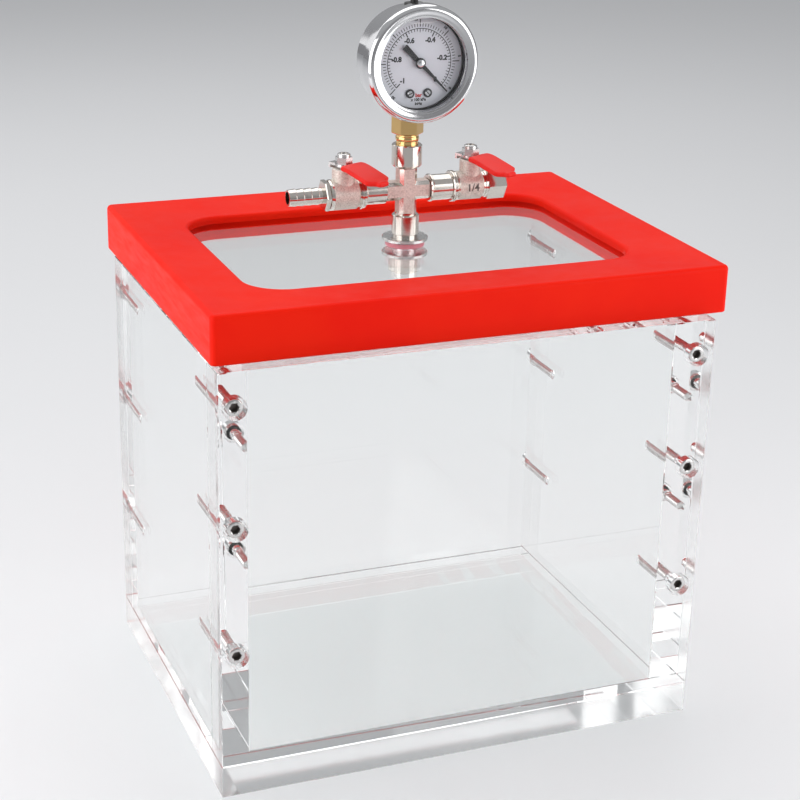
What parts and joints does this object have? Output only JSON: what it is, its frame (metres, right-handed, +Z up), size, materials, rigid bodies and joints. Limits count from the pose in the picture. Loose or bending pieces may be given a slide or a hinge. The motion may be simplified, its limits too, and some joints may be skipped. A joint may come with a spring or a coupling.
{
  "type": "vacuum chamber",
  "caption": "Clear acrylic box with a loose gasketed lid that carries a hose valve, a vent valve and a vacuum gauge.",
  "frame": {"origin": "centre of the box's underside, where it stands", "axes": "+Z up, the gauge faces -Y, the vent valve points along +X and the hose valve along -X"},
  "size_m": [0.313, 0.2495, 0.4316],
  "materials": {
    "clear_acrylic": "polished clear acrylic",
    "red_silicone": "satin moulded silicone",
    "pink_silicone": "translucent silicone",
    "screw_steel": "bright steel",
    "gauge_steel": "polished stainless steel",
    "gauge_glass": "clear window",
    "black_rubber": "matt",
    "dial_white": "matt white",
    "dial_black": "black",
    "brass": "machined",
    "red_vinyl": "dipped vinyl",
    "white_ptfe": "smooth",
    "stainless": "stamped, bright",
    "nickel": "nickel plated brass"
  },
  "bodies": {
    "chamber": {"back_left_screws": "screw_steel", "back_right_screws": "screw_steel", "back_wall": "clear_acrylic", "base_plate": "clear_acrylic", "bourdon_tube": "brass", "cross_fitting": "nickel", "dial_screws": "dial_black", "filling_plug": "black_rubber", "front_left_screws": "screw_steel", "front_right_screws": "screw_steel", "front_wall": "clear_acrylic", "gasket_frame": "red_silicone", "gauge_bezel": "gauge_steel", "gauge_case": "gauge_steel", "gauge_dial": "dial_white", "gauge_glass": "gauge_glass", "gauge_socket": "brass", "glass_seal": "black_rubber", "hose_barb": "nickel", "hose_coupling": "nickel", "hose_valve_body": "nickel", "hose_valve_packing": "white_ptfe", "hose_valve_seats": "white_ptfe", "left_wall": "clear_acrylic", "lid_nipple": "nickel", "lid_plate": "clear_acrylic", "lower_coupling": "nickel", "lower_nut": "nickel", "lower_washer": "stainless", "movement_plates": "brass", "right_wall": "clear_acrylic", "seal_washer": "pink_silicone", "upper_coupling": "nickel", "upper_washer": "stainless", "vent_coupling": "nickel", "vent_valve_body": "nickel", "vent_valve_packing": "white_ptfe", "vent_valve_seats": "white_ptfe"},
    "hose_valve_handle": {"hose_valve_ball": "nickel", "hose_valve_grip": "red_vinyl", "hose_valve_lever": "stainless", "hose_valve_nut": "stainless", "hose_valve_stem": "nickel"},
    "vent_valve_handle": {"vent_valve_ball": "nickel", "vent_valve_grip": "red_vinyl", "vent_valve_lever": "stainless", "vent_valve_nut": "stainless", "vent_valve_stem": "nickel"},
    "sector": {"sector_gear": "brass"},
    "link": {"drive_link": "brass"},
    "pointer": {"gauge_pointer": "dial_black", "pointer_spindle": "brass"}
  },
  "joints": [
    {"name": "hose_valve_turn", "type": "hinge", "parent": "chamber", "child": "hose_valve_handle", "pos_m": [-0.0335, 0.015, 0.314], "axis": [0, 0, 1], "range_deg": [-26, 64]},
    {"name": "vent_valve_turn", "type": "hinge", "parent": "chamber", "child": "vent_valve_handle", "pos_m": [0.048, 0.015, 0.314], "axis": [0, 0, 1], "range_deg": [-26, 64]},
    {"name": "sector_swing", "type": "hinge", "parent": "chamber", "child": "sector", "pos_m": [0.0065, 0.0073, 0.38195], "axis": [0, -1, 0], "range_deg": [-33.75, 0], "stiffness_Nm_per_rad": 0.02},
    {"name": "pointer_turn", "type": "hinge", "parent": "chamber", "child": "pointer", "pos_m": [0.0065, 0.0073, 0.3932], "axis": [0, -1, 0], "range_deg": [0, 270]},
    {"name": "link_turn", "type": "hinge", "parent": "sector", "child": "link", "pos_m": [0.00766, 0.0058, 0.37812], "axis": [0, -1, 0], "range_deg": [0, 33.75]}
  ],
  "couplings": [
    {"joint": "pointer_turn", "follows": "sector_swing", "ratio": -8},
    {"joint": "link_turn", "follows": "sector_swing", "ratio": -1}
  ]
}
